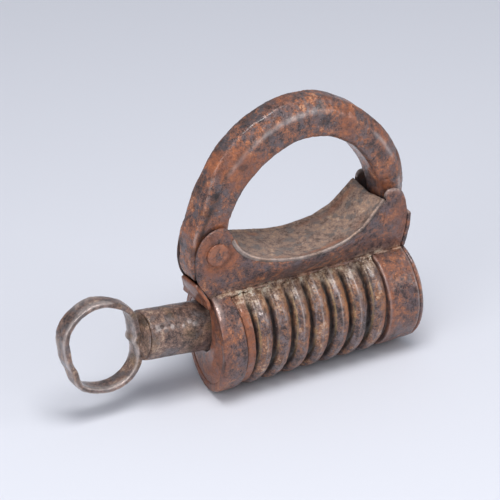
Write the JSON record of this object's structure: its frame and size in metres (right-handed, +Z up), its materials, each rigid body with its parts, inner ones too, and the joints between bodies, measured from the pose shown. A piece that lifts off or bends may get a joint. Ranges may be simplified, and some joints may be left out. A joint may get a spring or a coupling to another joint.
{
  "type": "screw-key padlock",
  "caption": "Forged-iron barrel padlock with a ribbed barrel, saddle plate, hinged arched shackle, sprung bolt and tubular screw key with a ring bow.",
  "frame": {"origin": "under the middle of the part's box, at the level the barrel's bands rest on", "axes": "+X along the barrel from the key to the toe end, +Y to the rear, +Z up to the shackle's arch"},
  "size_m": [0.1474, 0.0416, 0.1094],
  "materials": {
    "forged_iron": "rusty, waxed",
    "barrel_iron": "rusty, brazed, waxed",
    "shackle_iron": "rusty, waxed",
    "key_iron": "handled, waxed",
    "inner_iron": "dark, greased",
    "spring_steel": "dull"
  },
  "bodies": {
    "lock_body": {"barrel_tube": "barrel_iron", "barrel_winding": "barrel_iron", "hinge_end_band": "forged_iron", "keyhole_plate": "forged_iron", "toe_end_band": "forged_iron", "toe_end_plate": "forged_iron", "front_cheek": "forged_iron", "rear_cheek": "forged_iron", "saddle_plate": "forged_iron", "hinge_end_strap": "forged_iron", "toe_end_strap": "forged_iron", "hinge_rivet": "shackle_iron", "key_stop_plate": "inner_iron", "bolt_guide_plate": "inner_iron", "bolt_spring": "spring_steel"},
    "shackle": {"shackle": "shackle_iron"},
    "bolt": {"bolt_rod": "inner_iron", "bolt_thread": "inner_iron", "bolt_flange": "inner_iron", "bolt_flange_pin": "inner_iron"},
    "key_nut": {"key_nut": "key_iron"},
    "key": {"key_stem": "key_iron", "key_bow": "key_iron", "key_end_plug": "key_iron"}
  },
  "joints": [
    {"name": "shackle_swing", "type": "hinge", "parent": "lock_body", "child": "shackle", "pos_m": [-0.01004, 0, 0.0584], "axis": [0, -1, 0], "range_deg": [0, 75]},
    {"name": "bolt_slide", "type": "slide", "parent": "lock_body", "child": "bolt", "axis": [0.9942, 0, -0.108], "range_m": [0, 0.0095]},
    {"name": "key_draw", "type": "slide", "parent": "lock_body", "child": "key_nut", "axis": [-0.9942, 0, 0.108], "range_m": [0, 0.055]},
    {"name": "key_turn", "type": "hinge", "parent": "key_nut", "child": "key", "pos_m": [0.04146, 0, 0.0208], "axis": [0.9942, 0, -0.108], "range_deg": [0, 1080]}
  ],
  "couplings": [
    {"joint": "bolt_slide", "follows": "key_turn", "m_per_rad": 0.00050399}
  ]
}
